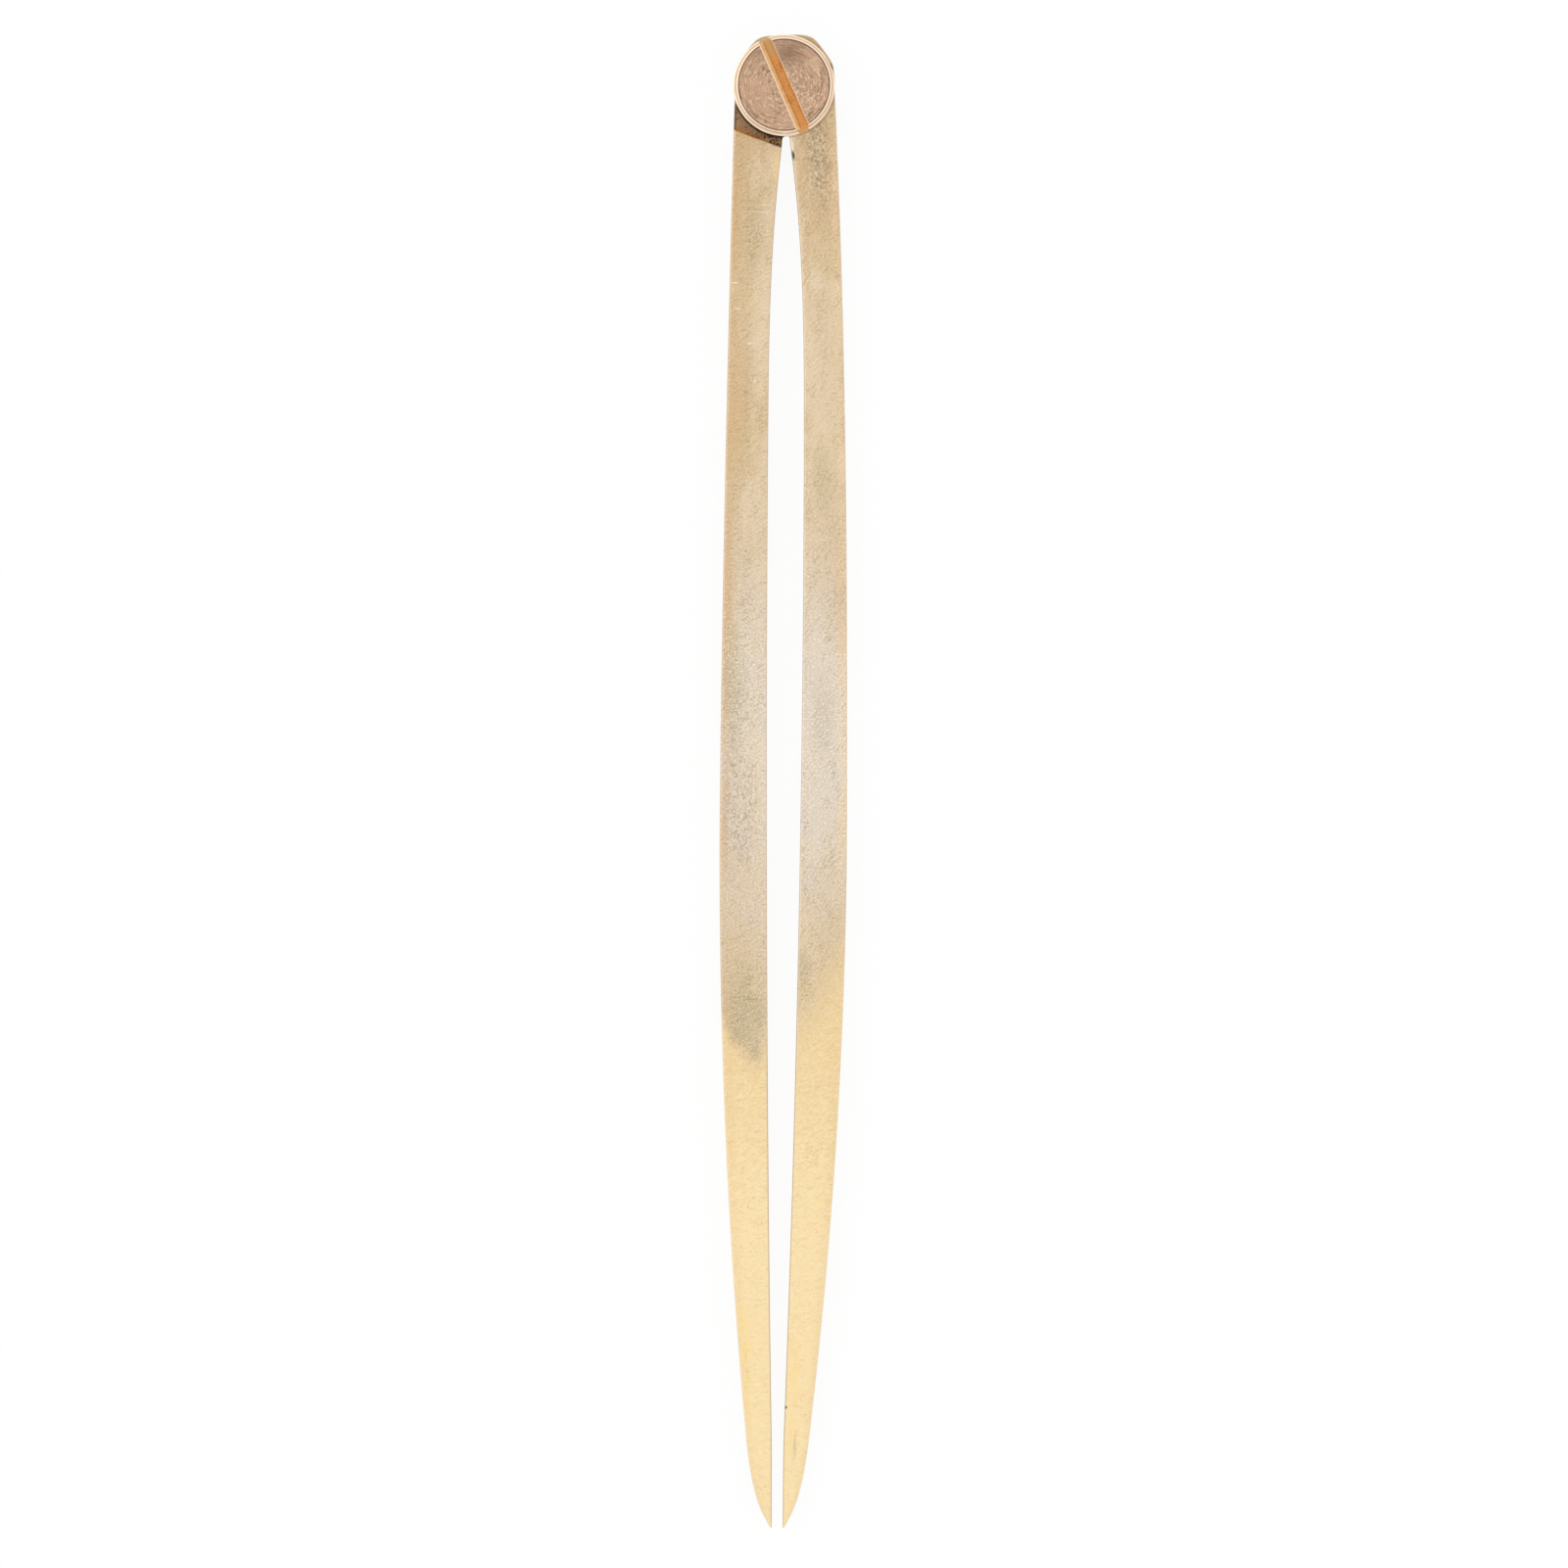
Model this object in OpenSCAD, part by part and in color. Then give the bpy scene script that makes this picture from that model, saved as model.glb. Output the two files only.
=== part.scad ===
/* Navigation divider: two bowed brass legs, half-lapped at the head under one slotted pivot screw.
   It lies on its back. The origin is on the pivot axis at the back plane, +Z points to the screw head,
   and the legs run towards -Y. All sizes are in millimetres. */

/* [Overall] */
// Length from the top of the head to the points
overall_length = 180; // [150:1:220]
// Angle between the legs as stored, counted from points together
rest_opening = 0.43; // [0.2:0.01:5]
// Thickness of each leg
leg_thickness = 3.4; // [2.8:0.1:4.5]

/* [Left leg] */
// Greatest distance of the left leg's inner edge from the closing line
left_bow = 1.55; // [1:0.05:2.4]
// Greatest distance of the left leg's outer edge from the closing line
left_belly = 7; // [6.2:0.1:8]
// Distance of the left leg's inner edge from the closing line at the neck
left_neck = 0.15; // [0.1:0.05:0.8]
// How soon the left leg's outer edge swells below the head
left_swell = 1.6; // [1.4:0.1:3]

/* [Right leg] */
// Greatest distance of the right leg's inner edge from the closing line
right_bow = 2.45; // [1.5:0.05:3.2]
// Greatest distance of the right leg's outer edge from the closing line
right_belly = 7.7; // [6.5:0.1:8.6]
// Distance of the right leg's inner edge from the closing line at the neck
right_neck = 0.75; // [0.1:0.05:0.9]
// How soon the right leg's outer edge swells below the head
right_swell = 2.7; // [1.4:0.1:3]

/* [Stations] */
// How far below the eye the inner edges part
neck_drop = 0.75; // [0.5:0.05:1.2]
// Distance from the pivot to where the inner edges stand widest
bow_station = 40; // [30:1:50]
// Distance from the pivot to where the outer edges stand widest
belly_station = 87; // [65:1:100]
// Distance from the pivot to where the legs begin to thin towards their points
taper_station = 111; // [80:1:120]

/* [Points] */
// Length of the rounded end of each point
point_length = 10; // [7:0.5:14]
// Distance of the outer edge from the closing line where the point begins
point_width = 3.1; // [2.6:0.1:3.6]
// Width of the blunt end of each point
point_flat = 0.4; // [0.2:0.05:0.5]
// Thickness of each leg at its point
point_thickness = 0.7; // [0.5:0.1:1.2]

/* [Head] */
// Radius of each eye
eye_radius = 6.1; // [5.9:0.1:6.6]
// Height of the lobe that hand filing left at the upper right of the rear eye
right_lobe = 0.62; // [0:0.02:0.7]
// Height of the lobe at the upper left of the rear eye
left_lobe = 0.36; // [0:0.02:0.6]
// Height of the lobe at the right side of the rear eye
side_lobe = 0.3; // [0:0.02:0.6]
// Radius of the hollow between each eye and its leg's inner edge
crotch_radius = 0.42; // [0.2:0.02:0.46]
// Gap between an eye and the other leg's shoulder
shoulder_gap = 1; // [0.8:0.1:1.5]
// Slant of each shoulder across its leg
shoulder_tilt = 20; // [10:1:25]

/* [Screw] */
// Radius of the screw head
head_radius = 5.75; // [5.2:0.05:5.9]
// Height of the screw head
head_height = 1.7; // [1.4:0.1:2.2]
// Bevel at the rim of the screw head
head_bevel = 0.25; // [0.15:0.05:0.4]
// Width of the driver slot between its upper edges
slot_width = 1.5; // [1:0.1:1.8]
// Width of the worn bevel along the slot's left edge
slot_bevel = 0.45; // [0.2:0.05:0.5]
// Depth of that bevel
slot_bevel_depth = 0.3; // [0.15:0.05:0.4]
// Depth of the driver slot
slot_depth = 0.9; // [0.6:0.1:1]
// Direction of the driver slot, counted from +X
slot_angle = 114; // [0:1:180]
// Diameter of the screw's shank and thread
shank_diameter = 5; // [4:0.5:6]

/* [Fits] */
// Radial clearance of the shank in both eyes
running_clearance = 0.05; // [0.03:0.01:0.1]
// Clearance between the friction washer and the front eye
lap_clearance = 0.05; // [0.02:0.01:0.1]
// Thickness of the friction washer
friction_washer_thickness = 0.2; // [0.1:0.05:0.3]
// Thickness of the spring washer's sheet
spring_washer_thickness = 0.25; // [0.2:0.05:0.4]
// Dish of the spring washer
spring_washer_dish = 0.05; // [0.03:0.01:0.15]
// How far the friction washer stays inside the rim of the eyes
friction_washer_inset = 0.7; // [0.4:0.1:1.2]
// Radius of the spring washer, whose rim shows round the screw head
spring_washer_radius = 6.1; // [5.9:0.1:6.4]

/* [Hidden] */
$fn = 96;
brass = [0.85, 0.72, 0.48];
worn_brass = [0.72, 0.57, 0.42];
bronze = [0.62, 0.42, 0.24];

// points per curved stretch of an outline
curve_steps = 14;
point_steps = 8;
taper_steps = 8;
crotch_steps = 6;
eye_steps = 72;

// lobes of the rear eye on the left leg, as drawn for the right hand: direction, spread and height
lobe_directions = [120, 62, 153];
lobe_spreads = [17, 13, 15];
lobe_heights = [right_lobe, left_lobe, side_lobe];
head_reach = max([for (point = rear_eye_edge()) point.y]);
pivot_to_point = overall_length - head_reach;

// stations along a leg, counted from the pivot towards the point
neck_station = eye_radius + neck_drop;
point_station = pivot_to_point - point_length;

// gap of the inner edge to the closing line where the point begins, and the shape of the inner neck
point_relief = 0.08;
neck_swell = 2.7;
// the end tangent of the rounded point runs this share of its length
point_fullness = 0.66;
// the outline starts this far inside the eye, so that the two cross at a clear angle
seam = 0.02;
// distance of the left leg's outer edge from the closing line beside the pivot
left_side = 5.9;

// levels through the lapped joint, from the back
rear_eye_top = (leg_thickness - friction_washer_thickness - lap_clearance) / 2;
washer_top = rear_eye_top + friction_washer_thickness;
front_eye_back = washer_top + lap_clearance;
head_back = leg_thickness + spring_washer_thickness + spring_washer_dish;
head_top = head_back + head_height;

shoulder_distance = eye_radius + shoulder_gap;
shank_radius = shank_diameter / 2;
bore_radius = shank_radius + running_clearance;
friction_washer_radius = eye_radius - friction_washer_inset;

// thread drawn as rings at the lower end of the shank
thread_pitch = 0.8;
thread_depth = 0.3;
tail_recess = 0.1;
ring_count = floor((rear_eye_top - tail_recess) / thread_pitch);

// how far cutting solids run past what they cut, and how wide they are to clear the whole head
overrun = 1;
clear_width = 6 * eye_radius;

// Distance from the closing line, at station s, of a curve that is upright at its apex.
// Apex and end are [distance, station], and a higher power swells sooner.
function curve_at(apex, end, power, s) =
    apex[0] + (end[0] - apex[0]) * pow(abs((s - apex[1]) / (end[1] - apex[1])), power);

// The same curve as outline points from one station to another.
function curve_run(apex, end, power, from, to) = [
    for (i = [0 : curve_steps])
        let (s = from + (to - from) * i / curve_steps)
        [curve_at(apex, end, power, s), -s]
];

// Rounded outer edge of a point, from the blunt end up to where the outer curve begins.
function point_run(slope) =
    let (
        start = [point_flat, -pivot_to_point],
        end = [point_width, -point_station],
        middle = end + point_fullness * point_length * [slope, -1]
    ) [
        for (i = [0 : point_steps - 1])
            let (t = i / point_steps)
            (1 - t) * (1 - t) * start + 2 * t * (1 - t) * middle + t * t * end
    ];

// Hollow from the eye's lower edge round to the inner edge, a quarter circle.
function crotch_run(neck) =
    let (centre = [neck - crotch_radius, seam - eye_radius - crotch_radius]) [
        for (i = [0 : crotch_steps])
            let (a = 90 * (1 - i / crotch_steps))
            centre + crotch_radius * [cos(a), sin(a)]
    ];

// Edge of the rear eye as filed by hand: a circle with low lobes, each shaped as a bell curve.
function rear_eye_edge() = [
    for (i = [0 : eye_steps - 1])
        let (
            a = 360 * i / eye_steps,
            falls = [
                for (n = [0 : len(lobe_heights) - 1])
                    exp(-pow((a - lobe_directions[n]) / lobe_spreads[n], 2))
            ]
        )
        (eye_radius + lobe_heights * falls) * [cos(a), sin(a)]
];

// Outline of a right-hand leg without its eye: down the inner edge, round the point, up the outer edge.
function leg_outline(bow, belly, neck, swell, side) =
    let (
        bow_apex = [bow, bow_station],
        belly_apex = [belly, belly_station],
        point_start = [point_width, point_station],
        eye_side = [side, 0],
        end_slope = 2 * (point_width - belly) / (point_station - belly_station)
    )
    concat(
        [[neck, 0]],
        crotch_run(neck),
        curve_run(bow_apex, [neck, neck_station], neck_swell, neck_station, bow_station),
        curve_run(bow_apex, [point_relief, point_station], 2,
            bow_station + (point_station - bow_station) / curve_steps, point_station),
        [[0, -pivot_to_point]],
        point_run(end_slope),
        curve_run(belly_apex, point_start, 2, point_station, belly_station),
        curve_run(belly_apex, eye_side, swell, belly_station * (1 - 1 / curve_steps), 0)
    );

// Side view of a leg: full thickness, then both faces curving in towards the point.
function side_outline() =
    let (
        fall = (leg_thickness - point_thickness) / 2,
        back = [
            for (i = [0 : taper_steps])
                let (t = i / taper_steps)
                [-(taper_station + (pivot_to_point - taper_station) * t), fall * t * t]
        ],
        front = [for (i = [taper_steps : -1 : 0]) [back[i][0], leg_thickness - back[i][1]]],
        top = clear_width / 2
    )
    concat([[top, leg_thickness], [top, 0]], back, front);

// A right-hand leg before the lap is cut, with a filed or a round eye.
module leg_blank(outline, filed) {
    intersection() {
        linear_extrude(leg_thickness)
            union() {
                polygon(outline);
                if (filed)
                    polygon(rear_eye_edge());
                else
                    circle(eye_radius);
            }
        rotate([90, 0, 90])
            translate([0, 0, -clear_width / 2])
                linear_extrude(clear_width)
                    polygon(side_outline());
    }
}

// What the lap takes off a right-hand leg above its shoulder, between two levels.
module lap_cut(bottom, top) {
    rotate(shoulder_tilt)
        translate([-clear_width / 2, -shoulder_distance, bottom])
            cube([clear_width, clear_width, top - bottom]);
}

// Bore for the screw through a whole leg.
module screw_bore() {
    translate([0, 0, -overrun])
        cylinder(h = leg_thickness + 2 * overrun, r = bore_radius);
}

// A flat or dished ring standing on a level. The dish lifts its inner edge.
module ring(inner, outer, bottom, thickness, dish = 0) {
    rotate_extrude()
        polygon([
            [inner, bottom + dish],
            [outer, bottom],
            [outer, bottom + thickness],
            [inner, bottom + dish + thickness]
        ]);
}

// Half section of the screw from its end up to the head, with ring grooves for the thread.
function screw_section() =
    concat(
        [[0, tail_recess]],
        [
            for (i = [0 : 2 * ring_count + 1])
                [
                    shank_radius - (i % 2 == 0 ? thread_depth : 0),
                    tail_recess + i * thread_pitch / 2
                ]
        ],
        [
            [shank_radius, head_back],
            [head_radius, head_back],
            [head_radius, head_top - head_bevel],
            [head_radius - head_bevel, head_top],
            [0, head_top]
        ]
    );

// Leg with the rear eye: the lap takes off its front half.
module left_leg() {
    color(brass)
        rotate(-rest_opening / 2)
            mirror([1, 0, 0])
                difference() {
                    leg_blank(leg_outline(left_bow, left_belly, left_neck, left_swell, left_side), true);
                    lap_cut(rear_eye_top, leg_thickness + overrun);
                    screw_bore();
                }
}

// Leg with the front eye: the lap takes off its rear half.
module right_leg() {
    color(brass)
        rotate(rest_opening / 2)
            difference() {
                leg_blank(
                    leg_outline(right_bow, right_belly, right_neck, right_swell, eye_radius - seam), false);
                lap_cut(-overrun, front_eye_back);
                screw_bore();
            }
}

// Thin washer between the two eyes, lying on the rear one.
module friction_washer() {
    color(bronze)
        ring(bore_radius, friction_washer_radius, rear_eye_top, friction_washer_thickness);
}

// Thin dished washer between the front eye and the screw head.
module spring_washer() {
    color(bronze)
        ring(bore_radius, spring_washer_radius, leg_thickness, spring_washer_thickness,
            spring_washer_dish);
}

// Section of the driver slot across its length, with the worn bevel along its left edge.
function slot_section() =
    let (
        half = slot_width / 2,
        floor_edge = half - slot_bevel,
        bevel_run = slot_bevel * (1 + overrun / slot_bevel_depth)
    ) [
        [-half, head_top + overrun],
        [-half, head_top - slot_depth],
        [floor_edge, head_top - slot_depth],
        [floor_edge, head_top - slot_bevel_depth],
        [floor_edge + bevel_run, head_top + overrun]
    ];

// Slotted screw that the legs turn on.
module pivot_screw() {
    color(worn_brass)
        difference() {
            rotate_extrude()
                polygon(screw_section());
            rotate(slot_angle)
                rotate([90, 0, 90])
                    translate([0, 0, -clear_width / 2])
                        linear_extrude(clear_width)
                            polygon(slot_section());
        }
}

left_leg();
right_leg();
friction_washer();
spring_washer();
pivot_screw();
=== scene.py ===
"""Brass navigation divider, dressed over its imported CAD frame.

Two bowed legs are lapped at the head and turn on a slotted pivot screw. The sizes and places of all
pieces are measured on the frame's own solids. Each operator works its surfaces out as whole arrays,
rounds the edges that a file and years of handling would round, and gives them a finish of nodes.
"""

from math import cos, pi, radians, sin
from types import SimpleNamespace

import bmesh
import bpy
import numpy as np
from bpy.props import FloatProperty, FloatVectorProperty, PointerProperty
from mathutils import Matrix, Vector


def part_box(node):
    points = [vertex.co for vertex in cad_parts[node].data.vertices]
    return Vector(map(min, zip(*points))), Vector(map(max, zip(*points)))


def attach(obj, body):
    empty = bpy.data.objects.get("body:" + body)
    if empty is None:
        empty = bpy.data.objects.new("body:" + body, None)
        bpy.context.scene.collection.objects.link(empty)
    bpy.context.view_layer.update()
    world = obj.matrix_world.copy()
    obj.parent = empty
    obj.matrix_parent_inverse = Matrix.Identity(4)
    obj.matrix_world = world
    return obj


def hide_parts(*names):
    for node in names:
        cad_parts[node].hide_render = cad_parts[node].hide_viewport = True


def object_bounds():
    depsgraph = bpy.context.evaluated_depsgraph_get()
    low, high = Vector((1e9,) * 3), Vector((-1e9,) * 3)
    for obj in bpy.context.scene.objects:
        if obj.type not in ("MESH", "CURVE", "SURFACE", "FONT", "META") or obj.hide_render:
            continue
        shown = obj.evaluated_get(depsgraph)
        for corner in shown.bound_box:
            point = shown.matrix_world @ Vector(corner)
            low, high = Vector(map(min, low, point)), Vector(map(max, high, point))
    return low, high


bl_info = {
    "name": "Navigation Divider",
    "version": (1, 0, 0),
    "blender": (4, 5, 0),
    "location": "View3D > Sidebar > Divider",
    "description": "Dresses the CAD frame of a brass navigation divider",
    "category": "Object",
}

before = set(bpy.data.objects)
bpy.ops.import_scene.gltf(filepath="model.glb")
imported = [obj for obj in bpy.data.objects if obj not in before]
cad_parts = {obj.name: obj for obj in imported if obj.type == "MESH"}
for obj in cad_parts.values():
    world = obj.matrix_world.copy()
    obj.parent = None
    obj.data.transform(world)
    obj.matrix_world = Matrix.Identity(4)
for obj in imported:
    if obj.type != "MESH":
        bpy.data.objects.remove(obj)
CAD_LOW, CAD_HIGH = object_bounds()
MM = 0.001

# How far apart places may lie and count as one, and the angle from which an edge is shaded as hard
HAIR = 0.01 * MM
HARD_EDGE = radians(35)

# The largest rounding of an edge, as a share of the thickness there
ROUNDEST = 0.4

# Angles of the points of a turned surface
ROUND = np.linspace(0, 2 * pi, 192, endpoint=False)

# Places read on the photograph, in its pixels: its side, the object's length, the pivot
PHOTO_SIDE = 1601
PHOTO_LENGTH = 1526
PHOTO_PIVOT = (800.43, 87.03)

# The stage in metres: half the side of the floor, and the place and tilt of the lamp
FLOOR_REACH = 6
LAMP_PLACE = (-0.5, 0.2, 0.7)
LAMP_TILT = radians(-35)

# Parts of a noise, which lies around one half: its upper and its lower part
UPPER = (0.48, 0.72)
LOWER = (0.52, 0.28)

# Stretches of both legs over which a layer of the finish comes or goes, as shares of the way from the
# pivot to the point, and the middle and reach of the silvery stretch
EYE_END = (0, 0.03)
TAN_END = (0.15, 0.05)
SILVERY_STRETCH = (0.455, 0.21)
FILM_END = (0.6, 0.5)
GOLD_END = (0.8, 0.66)
RIPPLES_FADE = (0.72, 0.85)

# Wear of each leg. Places lie along the leg, from 0 at the pivot to 1 at the point, and across it, from
# -1 at the inner edge to 1 at the outer one. The slant is that of the scratches, and the film is the
# setting of the colour along the outer edge. The tarnish ends, and a painted sheen of brighter,
# yellower
# brass begins, in a curve: its furthest place along, where that lies across, its bend and its softness.
# A mark has its place along and across, its reach along and across, and its strength. The word that
# some start with is the setting of their colour.
LEFT_WEAR = SimpleNamespace(
    slant=radians(27),
    film="film",
    tarnish_sheen_border=(0.675, -0.4, 0.013, 0.012),
    stains=(
        (0.645, -0.1, 0.05, 1.2, 0.55),
        (0.42, 0.5, 0.06, 0.8, 0.4),
        (0.105, -0.1, 0.045, 0.9, 0.3),
    ),
    patches=(
        ("cream", 0.485, -0.5, 0.06, 1.2, 0.55),
        ("cream", 0.15, -0.6, 0.1, 0.8, 0.35),
        ("film", 0.39, 0.85, 0.12, 0.7, 0.42),
        ("film", 0.225, 0.4, 0.065, 0.6, 0.45),
    ),
    mottles=(
        (0.5, 0.1, 0.07, 1.2, 0.75),
        (0.43, 0, 0.03, 1, 0.4),
        (0.215, -0.05, 0.045, 0.45, 0.3),
    ),
    strokes=(
        ("gilt", 0.88, 0.65, 0.06, 0.5, 0.9),
        ("scuff", 0.886, 0.6, 0.012, 0.16, 0.25),
    ),
    nicks=(
        ("gilt", 0.055, -1, 0.022, 0.3, 0.3),
        ("scuff", -0.0136, -1, 0.0035, 0.06, 0.8),
        ("shade", -0.004, -1, 0.006, 0.06, 0.5),
        ("bright", 0.083, -0.5, 0.0008, 0.6, 0.2),
        ("bright", 0.088, -0.45, 0.0008, 0.7, 0.2),
        ("bright", 0.137, 0.8, 0.0008, 0.3, 0.5),
        ("bright", 0.142, 0.9, 0.004, 0.04, 0.5),
        ("bright", 0.155, 0.62, 0.0009, 0.28, 0.45),
        ("bright", 0.179, -0.05, 0.001, 0.22, 0.45),
        ("bright", 0.205, -0.35, 0.0018, 0.1, 0.45),
    ),
)
RIGHT_WEAR = SimpleNamespace(
    slant=radians(55),
    film="peach",
    tarnish_sheen_border=(0.65, -1.6, 0.007, 0.042),
    stains=(
        (0.045, 0.1, 0.04, 0.7, 0.25),
        (0.625, -0.8, 0.035, 0.7, 0.5),
        (0.44, -0.1, 0.04, 0.7, 0.25),
        (0.275, -0.2, 0.035, 0.8, 0.3),
    ),
    patches=(
        ("cream", 0.205, 0, 0.12, 1.6, 0.55),
        ("silvery", 0.45, -0.3, 0.12, 1.3, 0.65),
        ("film", 0.355, 0.8, 0.06, 0.55, 0.3),
    ),
    mottles=(
        (0.05, 0.2, 0.055, 0.9, 1),
        (0.175, -0.1, 0.06, 0.5, 0.35),
    ),
    strokes=(
        ("gilt", 0.905, -0.5, 0.06, 0.6, 0.9),
        ("scuff", 0.943, -0.1, 0.015, 0.25, 0.3),
    ),
    nicks=(
        # Painted highlight: a bright line on the inner edge next to the crotch
        ("bright", 0.041, -1, 0.008, 0.1, 0.45),
        ("grime_and_shadow", 0.916, -1, 0.0016, 0.11, 0.85),
        # Painted shade: a dark sliver on the inner edge of the neck
        ("grime_and_shadow", 0.0485, -1, 0.0046, 0.08, 1),
    ),
)

# Spots on the screw's face: kind, place in x and y and reach in millimetres, strength
FACE_SPOTS = (
    ("dark", 0.8, 3.7, 2.2, 0.7),
    ("plain", 3.7, 2.6, 1.8, 0.4),
    ("pink", -3.2, -0.6, 2.4, 0.45),
    ("pink", 1, -4, 2, 0.35),
)


def picture_colour(red, green, blue):
    """Scene-linear colour of a picture's red, green and blue from 0 to 255."""
    shares = np.array((red, green, blue)) / 255
    linear = np.where(shares <= 0.04045, shares / 12.92, ((shares + 0.055) / 1.055) ** 2.4)
    return linear.tolist()


def a_length(name, description, millimetres):
    """A setting that is a length, given in millimetres and kept in metres."""
    return FloatProperty(
        name=name, description=description, default=millimetres * MM, min=0, precision=5, unit="LENGTH"
    )


def a_share(name, description, share):
    """A setting that is a share from 0 to 1."""
    return FloatProperty(
        name=name, description=description, default=share, min=0, max=1, subtype="FACTOR"
    )


def a_colour(name, description, red, green, blue):
    """A setting that is a colour, given as a picture's values from 0 to 255."""
    return FloatVectorProperty(
        name=name,
        description=description,
        default=picture_colour(red, green, blue),
        min=0,
        max=1,
        subtype="COLOR",
    )


class DIVIDER_PG_legs(bpy.types.PropertyGroup):
    """Sizes and colours of the two legs."""

    edge_rounding: a_length("Edge rounding", "Radius of the worn edges of the legs", 0.2)
    eye_rounding: a_length("Eye rounding", "Radius of the rims of the two eyes", 0.12)
    bore_chamfer: a_length("Bore chamfer", "Chamfer at the mouths of the screw's bore", 0.12)
    point: a_length("Point", "Last stretch of the legs, ground to a sharp point", 1.5)
    point_side: a_share("Ground side", "Share of a point's width ground off its outer side", 0.65)
    point_faces: a_share("Ground faces", "Share of its thickness ground off each face", 0.3)
    handled: a_colour("Handled brass", "Upper legs, dulled by hands", 214, 189, 151)
    tan: a_colour("Golden tan", "Legs next to the head", 204, 174, 133)
    silvery: a_colour("Silvery brass", "Rubbed middle of the legs", 223, 210, 193)
    # Painted sheen: the brighter, yellower colour of the untarnished lower legs
    clean: a_colour("Clean brass", "Lower legs", 248, 223, 173)
    gold: a_colour("Deep gold", "Clean brass next to the tarnish", 238, 210, 158)
    cream: a_colour("Pale side", "Paler brass towards the inner edges", 230, 210, 180)
    gilt: a_colour("Golden strokes", "Deep yellow strokes near the points", 253, 220, 138)
    film: a_colour("Warm film", "Orange brown film along the left outer edge", 209, 172, 125)
    peach: a_colour("Pale film", "Golden film along the right outer edge", 238, 211, 173)
    lilac: a_colour("Lilac patches", "Greyish lilac patches of the tarnish", 213, 199, 187)
    olive: a_colour("Olive patches", "Olive patches of the tarnish", 209, 190, 146)
    stain: a_colour("Stain", "Greyish green stains", 182, 169, 133)
    scuff: a_colour("Scuff", "Dark dots and strokes", 126, 97, 67)
    bright: a_colour("Bright metal", "Specks and scratches", 255, 245, 228)
    worn: a_colour("Worn edge", "Rubbed edges", 246, 231, 211)
    # Painted shade along the inner edges of the lower legs
    shade: a_colour("Inner line", "Greyish inner edges of the lower legs", 168, 156, 138)
    dirt: a_colour("Dirt", "Dirt in the lap beside the eye", 172, 134, 98)
    rust: a_colour("Orange dirt", "Dirt along the shoulder", 214, 156, 92)
    # Dark dirt and a dark nick, and also painted shadow and shade: the black line round the eye's foot
    # and a dark sliver at the right leg's neck
    grime_and_shadow: a_colour("Grime", "Black lines round the eye", 40, 28, 20)
    film_strength: a_share("Film strength", "How much of the warm film shows", 0.75)
    dots: a_share("Dots", "How dark the dots of the tarnish are", 0.23)
    ticks: a_share("Ticks", "How dark the ticks of the clean brass are", 0.4)
    specks: a_share("Specks", "How bright the specks of the tarnish are", 0.62)
    ripples: a_share("Ripples", "How much the ripples left by the file show", 0.3)
    wear: a_share("Wear", "How much the edges are rubbed", 0.3)


class DIVIDER_PG_screw(bpy.types.PropertyGroup):
    """Sizes and colours of the pivot screw."""

    slot_lip: a_length("Slot lip", "Worn lip along both edges of the slot", 0.06)
    corner: a_length("Corner", "Rounding under the head and at the end", 0.1)
    face: a_colour("Face", "Tarnished face of the head", 191, 156, 127)
    pale: a_colour("Pale arcs", "Rubbed arcs on the face", 226, 197, 167)
    dark: a_colour("Dark arcs", "Purplish brown arcs on the face", 138, 108, 88)
    pink: a_colour("Pink spots", "Pinkish spots on the face", 206, 165, 140)
    # Polished bevel, painted near white as a highlight
    rim: a_colour("Rim", "Polished bevel round the face", 252, 232, 204)
    # A dark line painted where the face meets the bevel
    groove: a_colour("Edge line", "Dark line between face and bevel", 96, 68, 50)
    slot: a_colour("Slot floor", "Orange film on the floor of the slot", 214, 150, 86)
    slot_spots: a_colour("Slot spots", "Darker spots on the floor of the slot", 178, 108, 52)
    slot_end: a_colour("Slot end", "Dull tan at the upper end of the slot", 196, 156, 104)
    bevel: a_colour("Slot bevel", "Bevelled edge of the slot", 234, 186, 132)
    plain: a_colour("Turned brass", "Sides, shank and end of the screw", 222, 196, 158)


class DIVIDER_PG_washers(bpy.types.PropertyGroup):
    """Sizes and colours of the two washers."""

    edge_rounding: a_length("Edge rounding", "Radius of the rolled edges", 0.05)
    bronze: a_colour("Bronze", "Rolled sheet of the friction washer", 176, 128, 76)
    rubbed: a_colour("Rubbed bronze", "Rubbed rings of the friction washer", 214, 172, 116)
    ring: a_colour("Ring", "Dull band of the spring washer", 228, 193, 165)
    # Painted highlight along the rim of the spring washer
    ring_rim: a_colour("Ring rim", "Bright rim of the spring washer", 255, 236, 213)


class DIVIDER_PG_stage(bpy.types.PropertyGroup):
    """Camera, floor and light."""

    lens: FloatProperty(name="Lens", description="Focal length", default=600, min=50, unit="CAMERA")
    roll: FloatProperty(
        name="Roll", description="Turn of the camera", default=radians(0.27), subtype="ANGLE"
    )
    floor: a_colour("Floor", "Colour of the floor", 250, 250, 250)
    floor_white: a_share("Floor white", "Share of the floor that shows as plain white", 0.92)
    surroundings: a_colour("Surroundings", "Even soft light from all sides", 255, 255, 255)
    lamp_side: a_length("Lamp side", "Side of the large soft lamp", 500)
    lamp_power: FloatProperty(
        name="Lamp", description="Power of the large soft lamp", default=0.8, min=0, unit="POWER"
    )


# Measuring the frame


def node_points(name):
    """All corners of a CAD node, one row each, in metres."""
    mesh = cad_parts[name].data
    points = np.empty(3 * len(mesh.vertices))
    mesh.vertices.foreach_get("co", points)
    return points.reshape(-1, 3)


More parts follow.
